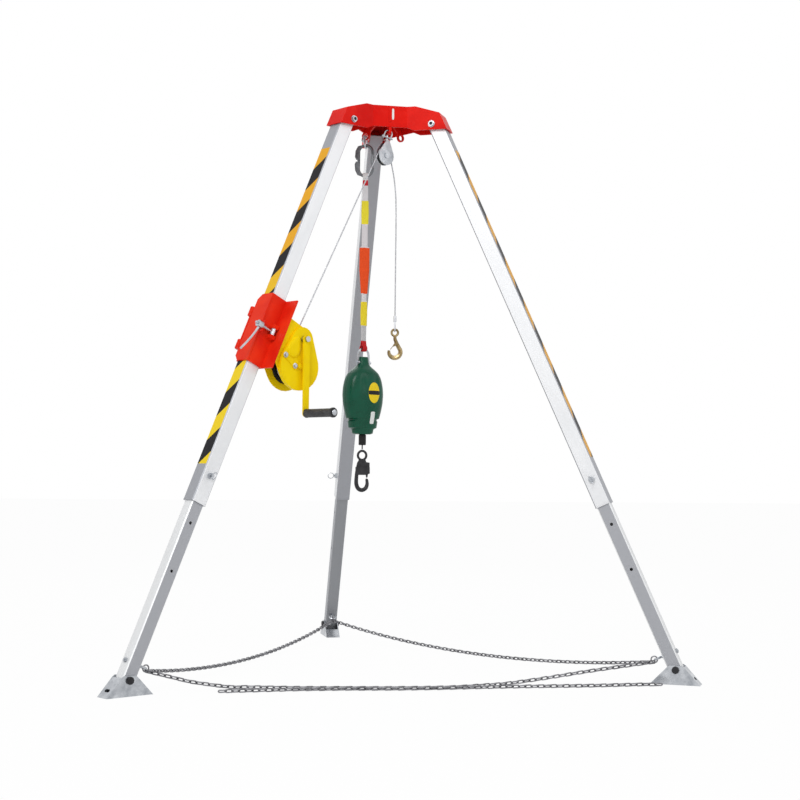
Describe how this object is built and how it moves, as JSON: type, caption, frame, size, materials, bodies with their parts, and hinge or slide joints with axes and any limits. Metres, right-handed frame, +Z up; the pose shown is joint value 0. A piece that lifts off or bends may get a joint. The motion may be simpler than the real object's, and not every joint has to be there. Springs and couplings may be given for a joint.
{
  "type": "rescue tripod",
  "caption": "Folding rescue tripod with telescopic legs, a hand winch whose rope runs over a pulley to a hook, a retractable fall arrester on a sling, and a chain round the feet.",
  "frame": {"origin": "on the floor, in the middle of the footprint's bounding box", "axes": "+Z up, +Y towards the rear leg, +X towards the right leg, seen from the side of the winch"},
  "size_m": [2.1432, 1.856, 2.1797],
  "materials": {
    "bare_aluminium": "brushed, with yellow and black tape on the outer faces",
    "black_plastic": "black moulded plastic",
    "black_rubber": "black rubber",
    "dark_steel": "dark phosphated steel",
    "green_plastic": "moulded green plastic",
    "red_paint": "glossy red paint",
    "sling_fabric": "white, red and yellow webbing",
    "wire_rope": "galvanised wire rope",
    "yellow_paint": "glossy yellow paint",
    "yellow_zinc": "yellow-chromated steel",
    "zinc_steel": "zinc-plated steel"
  },
  "bodies": {
    "head": {"head_crown": "red_paint", "anchor_spider": "red_paint", "left_crown_bolt": "zinc_steel", "right_crown_bolt": "zinc_steel", "rear_crown_bolt": "zinc_steel", "leg_chain": "zinc_steel", "rope_to_pulley": "wire_rope", "hook_rope": "wire_rope"},
    "left_leg": {"left_outer_tube": "bare_aluminium", "left_tube_collar": "black_plastic", "bracket_saddle": "red_paint", "bracket_gate": "red_paint", "bracket_hinge_pin": "zinc_steel", "winch_frame": "yellow_paint", "gear_cover": "yellow_paint"},
    "right_leg": {"right_outer_tube": "bare_aluminium", "right_tube_collar": "black_plastic"},
    "rear_leg": {"rear_outer_tube": "bare_aluminium", "rear_tube_collar": "black_plastic"},
    "left_lower_leg": {"left_inner_tube": "bare_aluminium", "left_eye_bolt": "zinc_steel", "left_shoe_bolt": "black_plastic"},
    "left_foot": {"left_shoe": "zinc_steel"},
    "left_pull_pin": {"left_lock_pin": "zinc_steel"},
    "right_lower_leg": {"right_inner_tube": "bare_aluminium", "right_eye_bolt": "zinc_steel", "right_shoe_bolt": "black_plastic"},
    "right_foot": {"right_shoe": "zinc_steel"},
    "right_pull_pin": {"right_lock_pin": "zinc_steel"},
    "rear_lower_leg": {"rear_inner_tube": "bare_aluminium", "rear_eye_bolt": "zinc_steel", "rear_shoe_bolt": "black_plastic"},
    "rear_foot": {"rear_shoe": "zinc_steel"},
    "rear_pull_pin": {"rear_lock_pin": "zinc_steel"},
    "swing_bolt": {"swing_bolt": "zinc_steel"},
    "lever": {"lever_nut": "zinc_steel"},
    "drum": {"winch_drum": "zinc_steel", "drum_gear": "dark_steel", "rope_winding": "wire_rope"},
    "crank": {"crank_shaft": "dark_steel", "crank_arm": "yellow_paint"},
    "grip": {"crank_grip": "black_rubber"},
    "pawl": {"brake_pawl": "dark_steel"},
    "pulley": {"pulley_shackle": "zinc_steel", "pulley_cheeks": "zinc_steel"},
    "sheave": {"pulley_sheave": "dark_steel"},
    "hoist": {"hook_fitting": "bare_aluminium"},
    "hook": {"lifting_hook": "yellow_zinc"},
    "latch": {"hook_latch": "zinc_steel"},
    "line": {"anchor_shackle": "zinc_steel", "carabiner_body": "dark_steel", "sling": "sling_fabric", "arrester_shackle": "zinc_steel"},
    "carabiner_gate": {"carabiner_gate": "dark_steel"},
    "arrester": {"arrester_front_shell": "green_plastic", "arrester_back_shell": "green_plastic"},
    "spool": {"arrester_drum": "zinc_steel"},
    "cable": {"arrester_cable": "black_rubber"},
    "snap": {"snap_hook": "dark_steel"},
    "snap_gate": {"snap_gate": "dark_steel"}
  },
  "joints": [
    {"name": "left_leg_fold", "type": "hinge", "parent": "head", "child": "left_leg", "pos_m": [-0.17407, -0.3924, 2.09043], "axis": [0.5, -0.866, 0], "range_deg": [0, 12], "deforming": ["leg_chain", "rope_to_pulley"]},
    {"name": "left_leg_extension", "type": "slide", "parent": "left_leg", "child": "left_lower_leg", "axis": [-0.3564, -0.2058, -0.9114], "range_m": [-0.356, 0.712], "deforming": ["leg_chain"]},
    {"name": "left_foot_tilt", "type": "hinge", "parent": "left_lower_leg", "child": "left_foot", "pos_m": [-0.98026, -0.85785, 0.053], "axis": [0.5, -0.866, 0], "range_deg": [-24, 6]},
    {"name": "left_lock_pin_pull", "type": "slide", "parent": "left_leg", "child": "left_pull_pin", "axis": [0.5, -0.866, 0], "range_m": [0, 0.009], "stiffness_N_per_m": 800, "springref_m": -0.004},
    {"name": "right_leg_fold", "type": "hinge", "parent": "head", "child": "right_leg", "pos_m": [0.17407, -0.3924, 2.09043], "axis": [0.5, 0.866, 0], "range_deg": [0, 24], "deforming": ["leg_chain"]},
    {"name": "right_leg_extension", "type": "slide", "parent": "right_leg", "child": "right_lower_leg", "axis": [0.3564, -0.2058, -0.9114], "range_m": [-0.356, 0.712], "deforming": ["leg_chain"]},
    {"name": "right_foot_tilt", "type": "hinge", "parent": "right_lower_leg", "child": "right_foot", "pos_m": [0.98026, -0.85785, 0.053], "axis": [0.5, 0.866, 0], "range_deg": [-24, 6]},
    {"name": "right_lock_pin_pull", "type": "slide", "parent": "right_leg", "child": "right_pull_pin", "axis": [-0.5, -0.866, 0], "range_m": [0, 0.009], "stiffness_N_per_m": 800, "springref_m": -0.004},
    {"name": "rear_leg_fold", "type": "hinge", "parent": "head", "child": "rear_leg", "pos_m": [0, -0.0909, 2.09043], "axis": [-1, 0, 0], "range_deg": [0, 24], "deforming": ["leg_chain"]},
    {"name": "rear_leg_extension", "type": "slide", "parent": "rear_leg", "child": "rear_lower_leg", "axis": [0, 0.4115, -0.9114], "range_m": [-0.356, 0.712], "deforming": ["leg_chain"]},
    {"name": "rear_foot_tilt", "type": "hinge", "parent": "rear_lower_leg", "child": "rear_foot", "pos_m": [0, 0.84001, 0.053], "axis": [-1, 0, 0], "range_deg": [-24, 6]},
    {"name": "rear_lock_pin_pull", "type": "slide", "parent": "rear_leg", "child": "rear_pull_pin", "axis": [-1, 0, 0], "range_m": [0, 0.009], "stiffness_N_per_m": 800, "springref_m": -0.004},
    {"name": "clamp_bolt_swing", "type": "hinge", "parent": "left_leg", "child": "swing_bolt", "pos_m": [-0.47295, -0.62015, 1.25038], "axis": [0.3564, 0.2058, 0.9114], "range_deg": [0, 85]},
    {"name": "lever_nut_turn", "type": "hinge", "parent": "swing_bolt", "child": "lever", "pos_m": [-0.47295, -0.62015, 1.25038], "axis": [-0.7893, -0.4557, 0.4115], "continuous": true},
    {"name": "crank_turn", "type": "hinge", "parent": "left_leg", "child": "crank", "pos_m": [-0.41039, -0.52884, 1.22865], "axis": [-0.5, 0.866, 0], "range_deg": [-5760, 2160]},
    {"name": "drum_turn", "type": "hinge", "parent": "left_leg", "child": "drum", "pos_m": [-0.42334, -0.53631, 1.12976], "axis": [0.5, -0.866, 0], "range_deg": [-1440.5, 540.5]},
    {"name": "grip_turn", "type": "hinge", "parent": "crank", "child": "grip", "pos_m": [-0.41039, -0.52884, 0.96065], "axis": [-0.5, 0.866, 0], "continuous": true},
    {"name": "pawl_lift", "type": "hinge", "parent": "left_leg", "child": "pawl", "pos_m": [-0.43758, -0.54454, 1.27574], "axis": [-0.5, 0.866, 0], "range_deg": [0, 20], "stiffness_Nm_per_rad": 0.2, "springref_deg": -17.19},
    {"name": "pulley_swing", "type": "hinge", "parent": "head", "child": "pulley", "pos_m": [0, -0.3719, 2.06693], "axis": [0.5, -0.866, 0], "range_deg": [0, 12], "deforming": ["rope_to_pulley", "hook_rope"]},
    {"name": "sheave_turn", "type": "hinge", "parent": "pulley", "child": "sheave", "pos_m": [-0.0199, -0.38339, 1.96646], "axis": [0.5, -0.866, 0], "range_deg": [-2044, 767]},
    {"name": "hook_hoist", "type": "slide", "parent": "head", "child": "hoist", "axis": [0, 0, 1], "range_m": [-1.1495, 0.4315], "deforming": ["hook_rope"]},
    {"name": "lifting_hook_swing", "type": "hinge", "parent": "hoist", "child": "hook", "pos_m": [0.03379, -0.35239, 1.2932], "axis": [-0.1736, -0.9848, 0], "range_deg": [-25, 25]},
    {"name": "hook_latch_press", "type": "hinge", "parent": "hook", "child": "latch", "pos_m": [0.03773, -0.35308, 1.2445], "axis": [-0.1736, -0.9848, 0], "range_deg": [0, 30], "stiffness_Nm_per_rad": 0.05, "springref_deg": -22.92},
    {"name": "sling_swing", "type": "hinge", "parent": "head", "child": "line", "pos_m": [-0.06928, -0.2519, 2.0621], "axis": [0.5, 0.866, 0], "range_deg": [-2, 8]},
    {"name": "carabiner_gate_press", "type": "hinge", "parent": "line", "child": "carabiner_gate", "pos_m": [-0.04287, -0.25751, 1.9444], "axis": [-0.2079, -0.9781, 0], "range_deg": [0, 20], "stiffness_Nm_per_rad": 0.1, "springref_deg": -17.19},
    {"name": "arrester_tilt", "type": "hinge", "parent": "line", "child": "arrester", "pos_m": [-0.06928, -0.2519, 1.17683], "axis": [0.8988, 0.4384, 0], "range_deg": [-8, 8]},
    {"name": "spool_turn", "type": "hinge", "parent": "arrester", "child": "spool", "pos_m": [-0.06928, -0.2519, 1.07383], "axis": [-0.4384, 0.8988, 0], "range_deg": [0, 765]},
    {"name": "cable_pull_out", "type": "slide", "parent": "arrester", "child": "cable", "axis": [0, 0, -1], "range_m": [0, 0.6], "stiffness_N_per_m": 8, "springref_m": -1.2},
    {"name": "snap_hook_swivel", "type": "hinge", "parent": "cable", "child": "snap", "pos_m": [-0.06928, -0.2519, 0.81533], "axis": [0, 0, 1], "continuous": true},
    {"name": "snap_gate_press", "type": "hinge", "parent": "snap", "child": "snap_gate", "pos_m": [-0.06337, -0.25294, 0.76133], "axis": [0.1736, 0.9848, 0], "range_deg": [0, 25], "stiffness_Nm_per_rad": 0.08, "springref_deg": -22.92}
  ],
  "couplings": [
    {"joint": "drum_turn", "follows": "crank_turn", "ratio": 0.25},
    {"joint": "sheave_turn", "follows": "crank_turn", "ratio": 0.35481},
    {"joint": "hook_hoist", "follows": "crank_turn", "m_per_rad": 0.011425},
    {"joint": "spool_turn", "follows": "cable_pull_out", "rad_per_m": 22.222}
  ]
}
